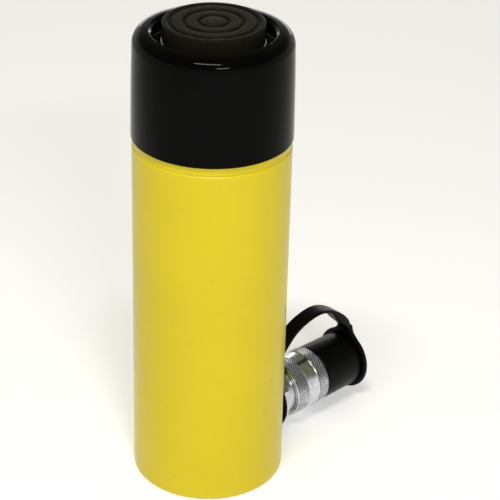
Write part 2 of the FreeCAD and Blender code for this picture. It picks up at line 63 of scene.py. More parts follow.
# Places read from the frame
COLLAR_LOW, COLLAR_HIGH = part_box("coupler_collar")
CAP_LOW, CAP_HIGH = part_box("dust_cap")
STRAP_LOW, STRAP_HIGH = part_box("cap_strap")
BODY_LOW, BODY_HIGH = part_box("cylinder_body")
PROTECTOR_LOW, PROTECTOR_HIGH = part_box("thread_protector")
PLUNGER_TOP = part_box("plunger")[1].z
SADDLE_LOW, SADDLE_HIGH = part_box("saddle")
COUPLER_Z = (COLLAR_LOW.z + COLLAR_HIGH.z) / 2
COLLAR_R = (COLLAR_HIGH.y - COLLAR_LOW.y) / 2


# Sizes and colours that a user would change

def length(name, description, default):
    return bpy.props.FloatProperty(name=name, description=description, default=default, unit="LENGTH",
                                   precision=5)


def colour(name, description, default):
    return bpy.props.StringProperty(name=name, description=description + ", as sRGB hex", default=default)


def angle(name, description, degrees):
    return bpy.props.FloatProperty(name=name, description=description, default=math.radians(degrees),
                                   subtype="ANGLE")


class EnamelSettings(bpy.types.PropertyGroup):
    """The sprayed body and its bare collar thread"""
    paint: colour("Paint", "Colour of the sprayed enamel", "#E3CD1A")
    orange_peel: length("Orange peel", "Width of one ripple in the sprayed coat", 1.8 * MM)
    bore_radius: length("Bore radius", "Inside this radius the steel is bare", 32.7 * MM)
    thread_pitch: length("Thread pitch", "Distance between two turns of the collar thread", 25.4 / 12 * MM)
    thread_depth: length("Thread depth", "Height of the thread's ridge", 1.15 * MM)


class ProtectorSettings(bpy.types.PropertyGroup):
    """The moulded cover of the collar thread"""
    corner: length("Corner", "Radius of the outer corner", 7.0 * MM)
    draft: length("Draft", "How much the wall leans in up to the corner", 1.2 * MM)
    fall: length("Fall", "How much the top slopes down from the opening to the corner", 1.2 * MM)
    opening: length("Opening", "Radius of the opening round the saddle", 32.2 * MM)
    bore: length("Bore", "Radius of the inside over the thread", 42.2 * MM)


class SaddleSettings(bpy.types.PropertyGroup):
    """The blackened saddle"""
    edge: length("Edge", "Radius of the rim", 0.7 * MM)
    groove_pitch: length("Groove pitch", "Distance between two grooves, from the centre out", 7.75 * MM)
    groove_width: length("Groove width", "Width of a groove at the top", 2.7 * MM)
    groove_depth: length("Groove depth", "Depth of a groove", 1.0 * MM)
    shank_radius: length("Shank radius", "Radius of the shank in the plunger", 17.9 * MM)
    black: colour("Black", "Colour of the oxide skin", "#18170E")


class KnurlSettings(bpy.types.PropertyGroup):
    """The coupler's collar"""
    teeth: bpy.props.IntProperty(name="Teeth", description="Diamonds round the collar", default=76, min=12)
    slope: bpy.props.FloatProperty(name="Slope", description="Length of a diamond over its width",
                                   default=1.2)
    height: length("Height", "Height of a diamond", 0.42 * MM)
    rear_band: length("Rear band", "Length of the knurl nearest to the body", 9.2 * MM)
    plain_band: length("Plain band", "Length of the smooth band between the knurls", 8.1 * MM)
    plain_depth: length("Plain depth", "How far the smooth band lies below the knurl's points", 0.6 * MM)


class CapSettings(bpy.types.PropertyGroup):
    """The rubber dust cap"""
    shank_radius: length("Shank radius", "Radius of the part inside the collar", 14.9 * MM)
    bore_radius: length("Bore radius", "Radius of the hollow over the nose", 12.9 * MM)
    root_radius: length("Root radius", "Radius of the grip beside the collar", 17.1 * MM)
    tip_radius: length("Tip radius", "Radius of the grip beside the strap", 16.8 * MM)
    stud_radius: length("Stud radius", "Radius of the stud in the strap's eye", 7.0 * MM)
    button_radius: length("Button radius", "Radius of the button that holds the strap", 10.5 * MM)


class StrapSettings(bpy.types.PropertyGroup):
    """The moulded strap of the dust cap"""
    width: length("Width", "Width of the band", 10 * MM)
    thickness: length("Thickness", "Thickness of the band", 2.0 * MM)
    gusset: length("Gusset", "Extra thickness where the band turns down", 3.2 * MM)
    rise: length("Rise", "Height of the arch above the band's root", 26.4 * MM)
    neck_eye: length("Neck eye", "Outer radius of the eye on the coupler", 20 * MM)
    end_eye: length("End eye", "Outer radius of the eye on the cap", 19.3 * MM)
    fillet: length("Fillet", "Radius where an eye runs into the band", 9 * MM)
    grain: length("Grain", "Fineness of the moulded mesh", 0.42 * MM)


class StageSettings(bpy.types.PropertyGroup):
    """Floor, light and camera"""
    lens: bpy.props.FloatProperty(name="Lens", description="Focal length on a 36 mm sensor", default=130.55)
    distance: length("Distance", "Level distance from the cylinder's axis to the camera", 0.874)
    height: length("Height", "Height of the camera above the floor", 0.6225)
    turn: angle("Turn", "How far the coupler points behind the picture's right", 42.5)
    pan: angle("Pan", "Camera pan", 1.42)
    pitch: angle("Pitch", "Camera pitch down", 28.97)
    roll: angle("Roll", "Camera roll", 1.51)


SETTINGS = {
    "cylinder_enamel": EnamelSettings,
    "cylinder_protector": ProtectorSettings,
    "cylinder_saddle": SaddleSettings,
    "cylinder_knurl": KnurlSettings,
    "cylinder_cap": CapSettings,
    "cylinder_strap": StrapSettings,
    "cylinder_stage": StageSettings,
}


# Materials

def linear(hex_colour):
    """An sRGB hex value as the linear colour that a shader takes"""
    digits = hex_colour.lstrip("#")
    values = []
    for start in (0, 2, 4):
        share = int(digits[start:start + 2], 16) / 255
        values.append(share / 12.92 if share <= 0.04045 else ((share + 0.055) / 1.055) ** 2.4)
    return (*values, 1.0)


def add(tree, kind, inputs=None, **settings):
    """Adds one node: settings are its properties, inputs are values or sockets to link"""
    node = tree.nodes.new(kind)
    for name, value in settings.items():
        setattr(node, name, value)
    for key, value in (inputs or {}).items():
        if isinstance(value, bpy.types.NodeSocket):
            tree.links.new(value, node.inputs[key])
        else:
            node.inputs[key].default_value = value
    return node


def new_material(name):
    """A material with its shader and output, and the Object coordinates that its patterns read"""
    material = bpy.data.materials.new(name)
    material.use_nodes = True
    tree = material.node_tree
    tree.nodes.clear()
    shader = add(tree, "ShaderNodeBsdfPrincipled")
    add(tree, "ShaderNodeOutputMaterial", {"Surface": shader.outputs["BSDF"]})
    place = add(tree, "ShaderNodeTexCoord").outputs["Object"]
    return material, tree, shader, place


def two_tones(tree, shader, place, size, first, second):
    """Clouds of two near colours, as wide as size"""
    cloud = add(tree, "ShaderNodeTexNoise", {"Vector": place, "Scale": 1 / size, "Detail": 4.0})
    share = add(tree, "ShaderNodeMapRange", {"Value": cloud.outputs["Fac"], "From Min": 0.35,
                                             "From Max": 0.65})
    mix = add(tree, "ShaderNodeMix", {"Factor": share.outputs["Result"], "A": linear(first),
                                      "B": linear(second)}, data_type="RGBA")
    tree.links.new(mix.outputs["Result"], shader.inputs["Base Color"])
    return mix.outputs["Result"]


def wandering_gloss(tree, shader, place, size, low, high):
    """A roughness that wanders between two values, as a handled surface has it"""
    cloud = add(tree, "ShaderNodeTexNoise", {"Vector": place, "Scale": 1 / size, "Detail": 4.0})
    gloss = add(tree, "ShaderNodeMapRange", {"Value": cloud.outputs["Fac"], "From Min": 0.3, "From Max": 0.7,
                                             "To Min": low, "To Max": high})
    tree.links.new(gloss.outputs["Result"], shader.inputs["Roughness"])
    return gloss.outputs["Result"]


def skin_texture(tree, shader, place, size, depth):
    """A fine unevenness of a real depth, such as orange peel or a mould's grain"""
    grain = add(tree, "ShaderNodeTexNoise", {"Vector": place, "Scale": 1 / size, "Detail": 2.0})
    raised = add(tree, "ShaderNodeBump", {"Height": grain.outputs["Fac"], "Distance": depth})
    tree.links.new(raised.outputs["Normal"], shader.inputs["Normal"])
    return raised.outputs["Normal"]


def axis_distance(tree, place, axis):
    """Distance from the plunger's axis, or from the coupler's"""
    keep = (1, 1, 0) if axis == "Z" else (0, 1, 1)
    centre = (0, 0, 0 if axis == "Z" else COUPLER_Z)
    moved = add(tree, "ShaderNodeVectorMath", {0: place, 1: centre}, operation="SUBTRACT")
    flat = add(tree, "ShaderNodeVectorMath", {0: moved.outputs[0], 1: keep}, operation="MULTIPLY")
    return add(tree, "ShaderNodeVectorMath", {0: flat.outputs[0]}, operation="LENGTH").outputs["Value"]


def lathe_rings(tree, shader, place, pitch, depth, axis):
    """Rings a pitch apart that a lathe leaves, along the side and out over the end faces"""
    along = add(tree, "ShaderNodeSeparateXYZ", {0: place}).outputs[axis]
    both = add(tree, "ShaderNodeMath", {0: along, 1: axis_distance(tree, place, axis)}, operation="ADD")
    turns = add(tree, "ShaderNodeMath", {0: both.outputs[0], 1: math.tau / pitch}, operation="MULTIPLY")
    wave = add(tree, "ShaderNodeMath", {0: turns.outputs[0]}, operation="SINE")
    raised = add(tree, "ShaderNodeBump", {"Height": wave.outputs[0], "Distance": depth})
    tree.links.new(raised.outputs["Normal"], shader.inputs["Normal"])


def sprayed_enamel(settings):
    """Yellow enamel sprayed on steel: an even colour, a soft gloss and a faint orange peel. Above the
    shoulder and in the bore the steel is bare, bright and oiled, with the collar thread cut in it"""
    material, tree, shader, place = new_material("sprayed_yellow_enamel")
    paint = two_tones(tree, shader, place, 60 * MM, settings.paint, "#DFC91B")
    wandering_gloss(tree, shader, place, 12 * MM, 0.27, 0.36)
    peel = skin_texture(tree, shader, place, settings.orange_peel, 0.008 * MM)
    spot = add(tree, "ShaderNodeSeparateXYZ", {0: place}).outputs
    shoulder = PROTECTOR_LOW.z - 0.1 * MM
    soft = 0.05 * MM
    above = add(tree, "ShaderNodeMapRange", {"Value": spot["Z"], "From Min": shoulder - soft,
                                             "From Max": shoulder + soft})
    inside = add(tree, "ShaderNodeMath", {0: axis_distance(tree, place, "Z"), 1: settings.bore_radius},
                 operation="LESS_THAN")
    bare = add(tree, "ShaderNodeMath", {0: above.outputs[0], 1: inside.outputs[0]}, operation="MAXIMUM")
    hue = add(tree, "ShaderNodeMix", {"Factor": bare.outputs[0], "A": paint, "B": linear("#A9A9A6")},
              data_type="RGBA")
    tree.links.new(hue.outputs["Result"], shader.inputs["Base Color"])
    tree.links.new(bare.outputs[0], shader.inputs["Metallic"])
    shader.inputs["Specular IOR Level"].default_value = 0.3
    round_angle = add(tree, "ShaderNodeMath", {0: spot["Y"], 1: spot["X"]}, operation="ARCTAN2")
    climb = add(tree, "ShaderNodeMath", {0: round_angle.outputs[0], 1: math.tau}, operation="DIVIDE")
    rise = add(tree, "ShaderNodeMath", {0: spot["Z"], 1: settings.thread_pitch}, operation="DIVIDE")
    turns = add(tree, "ShaderNodeMath", {0: rise.outputs[0], 1: climb.outputs[0]}, operation="SUBTRACT")
    ridge = add(tree, "ShaderNodeMath", {0: turns.outputs[0], 1: 0.5}, operation="PINGPONG")
    cut = add(tree, "ShaderNodeMath", {0: ridge.outputs[0], 1: above.outputs[0]}, operation="MULTIPLY")
    thread = add(tree, "ShaderNodeBump", {"Height": cut.outputs[0], "Distance": 2 * settings.thread_depth,
                                          "Normal": peel})
    tree.links.new(thread.outputs["Normal"], shader.inputs["Normal"])
    return material


def moulded_gloss_plastic():
    """Injection moulded black polyethylene from a polished mould: deep black, small sharp lights, slight
    sink waves"""
    material, tree, shader, place = new_material("moulded_black_polyethylene")
    two_tones(tree, shader, place, 25 * MM, "#030303", "#050505")
    wandering_gloss(tree, shader, place, 6 * MM, 0.08, 0.12)
    skin_texture(tree, shader, place, 16 * MM, 0.06 * MM)
    shader.inputs["Specular IOR Level"].default_value = 0.05
    return material


def moulded_rubber():
    """Nitrile rubber from a plain steel mould: a soft broad sheen on a fine dry skin"""
    made = bpy.data.materials.get("moulded_nitrile_rubber")
    if made:
        return made
    material, tree, shader, place = new_material("moulded_nitrile_rubber")
    two_tones(tree, shader, place, 8 * MM, "#040404", "#080808")
    wandering_gloss(tree, shader, place, 3 * MM, 0.3, 0.4)
    skin_texture(tree, shader, place, 0.6 * MM, 0.008 * MM)
    shader.inputs["Specular IOR Level"].default_value = 0.08
    return material


def black_oxide_steel(black):
    """Turned steel, blackened and oiled: a brown-olive black with fine rings that catch the light"""
    material, tree, shader, place = new_material("black_oxide_turned_steel")
    two_tones(tree, shader, place, 7 * MM, black, "#1C1B11")
    wandering_gloss(tree, shader, place, 2 * MM, 0.3, 0.38)
    lathe_rings(tree, shader, place, 0.45 * MM, 0.002 * MM, "Z")
    shader.inputs["Specular IOR Level"].default_value = 0.02
    return material


def metal(name, first, second, low, high, tone_size=6 * MM):
    """A bare or plated metal: two near tones and a roughness that wanders"""
    material, tree, shader, place = new_material(name)
    two_tones(tree, shader, place, tone_size, first, second)
    wandering_gloss(tree, shader, place, tone_size / 3, low, high)
    shader.inputs["Metallic"].default_value = 1.0
    return material, tree, shader, place


def hard_chrome():
    """Ground and chromed bar: mirror bright, with faint rings round it"""
    material, tree, shader, place = metal("ground_hard_chrome", "#D9DADC", "#CFD0D3", 0.1, 0.17)
    lathe_rings(tree, shader, place, 0.35 * MM, 0.0006 * MM, "Z")
    return material


def bright_zinc():
    """Bright zinc plate on turned bar: a bluish silver with soft lathe rings"""
    material, tree, shader, place = metal("bright_zinc_plate", "#CDCFD2", "#BBBDC1", 0.16, 0.26)
    lathe_rings(tree, shader, place, 0.3 * MM, 0.001 * MM, "X")
    return material


def knurled_zinc(settings):
    """Bright plate over rolled diamonds, with painted shade: the points keep the plate's tone, and the
    valleys between them are painted dark.
    The band without a knurl and the chamfers get no painted shade. The diamonds are drawn 1.4 mm wide, half
    as coarse again as real ones, so that they show in the render"""
    material, tree, shader, place = metal("knurled_zinc_plate", "#DADCE2", "#C6C8CE", 0.16, 0.26, 3 * MM)
    unshaded_tone = shader.inputs["Base Color"].links[0].from_socket
    along = add(tree, "ShaderNodeSeparateXYZ", {0: place}).outputs["X"]
    plain_middle = COLLAR_LOW.x + settings.rear_band + settings.plain_band / 2
    from_plain = add(tree, "ShaderNodeMath", {0: along, 1: plain_middle}, operation="SUBTRACT")
    off_plain = add(tree, "ShaderNodeMath", {0: from_plain.outputs[0]}, operation="ABSOLUTE")
    beside = add(tree, "ShaderNodeMath", {0: off_plain.outputs[0], 1: settings.plain_band / 2 + 0.5 * MM},
                 operation="GREATER_THAN")
    middle = (COLLAR_LOW.x + COLLAR_HIGH.x) / 2
    from_middle = add(tree, "ShaderNodeMath", {0: along, 1: middle}, operation="SUBTRACT")
    off_middle = add(tree, "ShaderNodeMath", {0: from_middle.outputs[0]}, operation="ABSOLUTE")
    within = add(tree, "ShaderNodeMath", {0: off_middle.outputs[0], 1: COLLAR_HIGH.x - middle - 0.7 * MM},
                 operation="LESS_THAN")
    banded = add(tree, "ShaderNodeMath", {0: beside.outputs[0], 1: within.outputs[0]}, operation="MULTIPLY")
    # Painted shade: the base colour darkens towards the floors of the knurl's valleys, where shade falls. The
    # plain band and the chamfers are left out.
    sunk = add(tree, "ShaderNodeMapRange", {"Value": axis_distance(tree, place, "X"),
                                            "From Min": COLLAR_R - 0.12 * MM,
                                            "From Max": COLLAR_R - settings.height * 0.8})
    painted_valley_shade = add(tree, "ShaderNodeMath", {0: sunk.outputs[0], 1: banded.outputs[0]}, operation="MULTIPLY")
    hue = add(tree, "ShaderNodeMix", {"Factor": painted_valley_shade.outputs[0], "A": unshaded_tone, "B": linear("#1E1F24")},
              data_type="RGBA")
    tree.links.new(hue.outputs["Result"], shader.inputs["Base Color"])
    gloss = shader.inputs["Roughness"].links[0].from_socket
    rubbed = add(tree, "ShaderNodeMix", {"Factor": banded.outputs[0], "A": gloss, "B": 0.42},
                 data_type="FLOAT")
    tree.links.new(rubbed.outputs["Result"], shader.inputs["Roughness"])
    return material


def turned_steel():
    """Turned steel with a film of oil: mid grey, plain rings"""
    material, tree, shader, place = metal("oiled_turned_steel", "#8F8F8E", "#80807F", 0.25, 0.35)
    lathe_rings(tree, shader, place, 0.4 * MM, 0.002 * MM, "Z")
    return material


def bearing_bronze():
    """Turned bearing bronze: warm, with fine rings"""
    material, tree, shader, place = metal("turned_bearing_bronze", "#B98A4A", "#AB7C3E", 0.28, 0.36)
    lathe_rings(tree, shader, place, 0.3 * MM, 0.002 * MM, "Z")
    return material


def spring_wire():
    """Oil-tempered drawn wire: dark blue-grey, smooth"""
    return metal("oil_tempered_spring_wire", "#55575C", "#47484C", 0.3, 0.4)[0]


def seal_polyurethane():
    """Cast polyurethane seal: dark blue-grey, waxy"""
    material, tree, shader, place = new_material("cast_polyurethane")
    two_tones(tree, shader, place, 5 * MM, "#20242B", "#272B33")
    wandering_gloss(tree, shader, place, 2 * MM, 0.3, 0.4)
    return material


# Mesh helpers

def to_piece(name, mesh, material, crease=35):
    """Puts a mesh in the scene as one piece with its material, rounded faces smooth and real edges sharp"""
    mesh.materials.clear()
    mesh.materials.append(material)
    for face in mesh.polygons:
        face.use_smooth = True
        face.material_index = 0
    mesh.set_sharp_from_angle(angle=math.radians(crease))
    piece = bpy.data.objects.new(name, mesh)
    bpy.context.scene.collection.objects.link(piece)
    return piece


def rounded(corners, steps=6):
    """A closed profile; a corner with a third value is rounded to that radius"""
    outline = []
    count = len(corners)
    for number, corner in enumerate(corners):
        here = Vector(corner[:2])
        if len(corner) < 3:
            outline.append(here)
            continue
        back = (Vector(corners[number - 1][:2]) - here).normalized()
        ahead = (Vector(corners[(number + 1) % count][:2]) - here).normalized()
        half = back.angle(ahead) / 2
        centre = here + (back + ahead).normalized() * corner[2] / math.sin(half)
        first = here + back * corner[2] / math.tan(half) - centre
        last = here + ahead * corner[2] / math.tan(half) - centre
        turn = first.angle_signed(last)
        for step in range(steps + 1):
            part = first.copy()
            part.rotate(Matrix.Rotation(-turn * step / steps, 2))
            outline.append(centre + part)
    return outline


def mesh_from(name, work):
    """Closes a bmesh: doubles merged, loose edges dropped, faces turned outwards"""
    bmesh.ops.remove_doubles(work, verts=work.verts, dist=1e-7)
    loose = [edge for edge in work.edges if edge.is_wire]
    bmesh.ops.delete(work, geom=loose, context="EDGES")
    bmesh.ops.recalc_face_normals(work, faces=work.faces)
    mesh = bpy.data.meshes.new(name)
    work.to_mesh(mesh)
    work.free()
    return mesh


def lathe(mesh_name, outline, axis, segments=160):
    """Turns a closed profile of (radius, along) points about the plunger's axis or the coupler's"""
    work = bmesh.new()
    loops = []
    for radius, along in outline:
        loop = []
        for step in range(segments):
            turn = math.tau * step / segments
            if axis == "Z":
                spot = (radius * math.cos(turn), radius * math.sin(turn), along)
            else:
                spot = (along, radius * math.cos(turn), COUPLER_Z + radius * math.sin(turn))
            loop.append(work.verts.new(spot))
        loops.append(loop)
    for number, loop in enumerate(loops):
        following = loops[(number + 1) % len(loops)]
        for step in range(segments):
            ahead = (step + 1) % segments
            work.faces.new((loop[step], loop[ahead], following[ahead], following[step]))
    return mesh_from(mesh_name, work)


def swept(mesh_name, sections):
    """A solid through sections of equally many points, closed at both ends"""
    work = bmesh.new()
    loops = [[work.verts.new(spot) for spot in section] for section in sections]
    for loop, following in zip(loops, loops[1:]):
        for step in range(len(loop)):
            ahead = (step + 1) % len(loop)
            work.faces.new((loop[step], loop[ahead], following[ahead], following[step]))
    work.faces.new(loops[0])
    work.faces.new(loops[-1])
    return mesh_from(mesh_name, work)


def joined(name, meshes):
    """Several meshes as one"""
    work = bmesh.new()
    for mesh in meshes:
        work.from_mesh(mesh)
        bpy.data.meshes.remove(mesh)
    mesh = bpy.data.meshes.new(name)
    work.to_mesh(mesh)
    work.free()
    return mesh


def baked(carrier, name):
    """The evaluated result of an object's modifiers as a plain mesh; the carrier is removed"""
    bpy.context.view_layer.update()
    evaluated = carrier.evaluated_get(bpy.context.evaluated_depsgraph_get())
    mesh = bpy.data.meshes.new_from_object(evaluated)
    mesh.name = name
    bpy.data.objects.remove(carrier)
    return mesh


def merged_copy(node):
    """A copy of a node's mesh with its loose triangles merged"""
    work = bmesh.new()
    work.from_mesh(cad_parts[node].data)
    bmesh.ops.remove_doubles(work, verts=work.verts, dist=1e-6)
    mesh = bpy.data.meshes.new(node + "_copy")
    work.to_mesh(mesh)
    work.free()
    return mesh


# Geometry node trees

def tree_input(tree, name, kind, default):
    """Adds a named input to a tree, and gives the identifier that its modifier goes by"""
    socket = tree.interface.new_socket(name, in_out="INPUT", socket_type=kind)
    socket.default_value = default
    return socket.identifier


def knurl_tree(material):
    """Rings of small blunt pyramids in a row along the coupler's axis, every second ring turned by half a
    diamond"""
    tree = bpy.data.node_groups.new("diamond_knurl", "GeometryNodeTree")
    names = {
        "Teeth": tree_input(tree, "Teeth", "NodeSocketInt", 96),
        "Rows": tree_input(tree, "Rows", "NodeSocketInt", 12),
        "Radius": tree_input(tree, "Radius", "NodeSocketFloat", 17 * MM),
        "Start": tree_input(tree, "Start", "NodeSocketFloat", 57 * MM),
        "Row Step": tree_input(tree, "Row Step", "NodeSocketFloat", 0.8 * MM),
        "Axis Height": tree_input(tree, "Axis Height", "NodeSocketFloat", COUPLER_Z),
        "Half Width": tree_input(tree, "Half Width", "NodeSocketFloat", 0.6 * MM),
        "Height": tree_input(tree, "Height", "NodeSocketFloat", 0.4 * MM),
    }
    tree.interface.new_socket("Geometry", in_out="OUTPUT", socket_type="NodeSocketGeometry")
    given = add(tree, "NodeGroupInput").outputs
    number = add(tree, "GeometryNodeInputIndex").outputs[0]
    worn_top = 0.42
    pyramid = add(tree, "GeometryNodeMeshCone", {"Vertices": 4, "Side Segments": 1, "Radius Top": worn_top,
                                                 "Radius Bottom": 1.0, "Depth": 1.0}, fill_type="NGON")
    share = add(tree, "ShaderNodeMath", {0: math.tau, 1: given["Teeth"]}, operation="DIVIDE")
    place = add(tree, "ShaderNodeMath", {0: number, 1: share.outputs[0]}, operation="MULTIPLY")
    outward = add(tree, "ShaderNodeCombineXYZ", {"Y": math.pi / 2, "Z": place.outputs[0]})
    stretch = add(tree, "ShaderNodeCombineXYZ", {"X": given["Row Step"], "Y": given["Half Width"],
                                                 "Z": given["Height"]})
    circle = add(tree, "GeometryNodeMeshCircle", {"Vertices": given["Teeth"], "Radius": given["Radius"]})
    ring = add(tree, "GeometryNodeInstanceOnPoints", {
        "Points": circle.outputs[0], "Instance": pyramid.outputs[0], "Rotation": outward.outputs[0],
        "Scale": stretch.outputs[0]})
    step = add(tree, "ShaderNodeCombineXYZ", {"Z": given["Row Step"]})
    line = add(tree, "GeometryNodeMeshLine", {"Count": given["Rows"], "Start Location": step.outputs[0],
                                              "Offset": step.outputs[0]}, mode="OFFSET")
    odd = add(tree, "ShaderNodeMath", {0: number, 1: 2.0}, operation="MODULO")
    half = add(tree, "ShaderNodeMath", {0: share.outputs[0], 1: 0.5}, operation="MULTIPLY")
    shift = add(tree, "ShaderNodeMath", {0: odd.outputs[0], 1: half.outputs[0]}, operation="MULTIPLY")
    stagger = add(tree, "ShaderNodeCombineXYZ", {"Z": shift.outputs[0]})
    rows = add(tree, "GeometryNodeInstanceOnPoints", {"Points": line.outputs[0], "Instance": ring.outputs[0],
                                                      "Rotation": stagger.outputs[0]})
    seat = add(tree, "ShaderNodeCombineXYZ", {"X": given["Start"], "Z": given["Axis Height"]})
    laid = add(tree, "GeometryNodeTransform", {"Geometry": rows.outputs[0], "Translation": seat.outputs[0],
                                               "Rotation": (0, math.pi / 2, 0)})
    solid = add(tree, "GeometryNodeRealizeInstances", {0: laid.outputs[0]})
    dressed = add(tree, "GeometryNodeSetMaterial", {"Geometry": solid.outputs[0], "Material": material})
    add(tree, "NodeGroupOutput", {"Geometry": dressed.outputs[0]})
    return tree, names


def run_tree(tree, identifiers, values, name):
    """Runs a geometry tree with its named inputs set, and keeps the result as a mesh"""
    carrier = bpy.data.objects.new(name + "_carrier", bpy.data.meshes.new(name + "_empty"))
    bpy.context.scene.collection.objects.link(carrier)
    modifier = carrier.modifiers.new("build", "NODES")
    modifier.node_group = tree
    for key, value in values.items():
        modifier[identifiers[key]] = value
    return baked(carrier, name)


# Pieces

def dress(node, material):
    """Gives a node of the frame its finish"""
    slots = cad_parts[node].data.materials
    slots.clear()
    slots.append(material)


class CYLINDER_OT_body(bpy.types.Operator):
    """Paint the body and bare its thread and bore"""
    bl_idname = "cylinder.body"
    bl_label = "Body"

    def execute(self, context):
        dress("cylinder_body", sprayed_enamel(context.scene.cylinder_enamel))
        return {"FINISHED"}


class CYLINDER_OT_protector(bpy.types.Operator):
    """Mould the thread protector, with the draft of its wall and a softly sloping top"""
    bl_idname = "cylinder.protector"
    bl_label = "Thread protector"

    def execute(self, context):
        settings = context.scene.cylinder_protector
        wall = PROTECTOR_HIGH.x - 0.02 * MM
        bottom = PROTECTOR_LOW.z
        top = PROTECTOR_HIGH.z
        waist = bottom + (top - bottom) * 0.55
        ceiling = top - 4.6 * MM
        seat = settings.bore - 3 * MM
        foot_run, foot_rise = 0.6 * MM, 0.9 * MM
        lip_run, lip_drop, lip_radius = 1.8 * MM, 1.4 * MM, 0.8 * MM
        outline = rounded([
            (settings.bore, bottom + foot_rise),
            (settings.bore + foot_run, bottom),
            (wall, bottom, 0.5 * MM),
            (wall - settings.draft * 0.4, waist),
            (wall - settings.draft, top - settings.fall, settings.corner),
            (settings.opening + lip_run, top, lip_radius),
            (settings.opening, top - lip_drop, lip_radius),
            (settings.opening, ceiling),
            (seat, ceiling, 2 * MM),
            (seat, BODY_HIGH.z),
            (settings.bore, BODY_HIGH.z),
        ], steps=10)
        cover = to_piece("moulded_protector", lathe("moulded_protector", outline, "Z", 256),
                         moulded_gloss_plastic())
        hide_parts("thread_protector")
        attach(cover, "protector")
        return {"FINISHED"}


class CYLINDER_OT_saddle(bpy.types.Operator):
    """Turn the saddle with soft edges to its grooves, and black it"""
    bl_idname = "cylinder.saddle"
    bl_label = "Saddle"

    def execute(self, context):
        settings = context.scene.cylinder_saddle
        black = black_oxide_steel(settings.black)
        dress("spring_screw", black)
        top = SADDLE_HIGH.z
        foot = PLUNGER_TOP
        rim = SADDLE_HIGH.x
        shank = settings.shank_radius
        tip_chamfer, foot_chamfer = 1.0 * MM, 0.8 * MM
        ring_z, ring_half, ring_depth = foot - 6.0 * MM, 0.85 * MM, 1.4 * MM
        corners = [
            (0, SADDLE_LOW.z),
            (shank - tip_chamfer, SADDLE_LOW.z, 0.2 * MM),
            (shank, SADDLE_LOW.z + tip_chamfer, 0.2 * MM),
            (shank, ring_z - ring_half),
            (shank - ring_depth, ring_z - ring_half),
            (shank - ring_depth, ring_z + ring_half),
            (shank, ring_z + ring_half),
            (shank, foot),
            (rim - foot_chamfer, foot, 0.2 * MM),
            (rim, foot + foot_chamfer, 0.3 * MM),
            (rim, top, settings.edge),
        ]
        half = settings.groove_width / 2
        floor_half = half * 0.6
        floor = top - settings.groove_depth
        for number in (3, 2, 1):
            middle = number * settings.groove_pitch
            corners += [
                (middle + half, top, 0.35 * MM),
                (middle + floor_half, floor, 0.25 * MM),
                (middle - floor_half, floor, 0.25 * MM),
                (middle - half, top, 0.35 * MM),
            ]
        corners.append((0, top))
        saddle = to_piece("grooved_saddle", lathe("grooved_saddle", rounded(corners), "Z", 180), black)
        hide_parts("saddle")
        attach(saddle, "saddle_pad")
        return {"FINISHED"}


class CYLINDER_OT_inside(bpy.types.Operator):
    """Finish the plunger, rings, bearings, seals, valve seat, ball and plugs"""
    bl_idname = "cylinder.inside"
    bl_label = "Plunger and inner pieces"

    def execute(self, context):
        groups = (
            (hard_chrome(), ("plunger",)),
            (turned_steel(), ("stop_ring", "spring_base_plug", "spring_head_plug", "valve_seat",
                              "check_ball")),
            (bearing_bronze(), ("piston_bearing", "guide_bearing")),
            (seal_polyurethane(), ("piston_seal", "backup_ring", "coupler_seal")),
            (moulded_rubber(), ("rod_wiper", "saddle_retaining_ring")),
        )
        for material, nodes in groups:
            for node in nodes:
                dress(node, material)
        return {"FINISHED"}


class CYLINDER_OT_springs(bpy.types.Operator):
    """Make the two springs pieces of their own in spring wire, and finish the collar's snap ring in the same
    wire
    """
    bl_idname = "cylinder.springs"
    bl_label = "Springs"

    def execute(self, context):
        wire = spring_wire()
        dress("collar_snap_ring", wire)
        lifting = to_piece("wound_return_spring", merged_copy("return_spring"), wire)
        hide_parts("return_spring")
        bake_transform(lifting)
        closing = to_piece("wound_check_spring", merged_copy("check_spring"), wire)
        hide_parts("check_spring")
        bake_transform(closing)
        return {"FINISHED"}


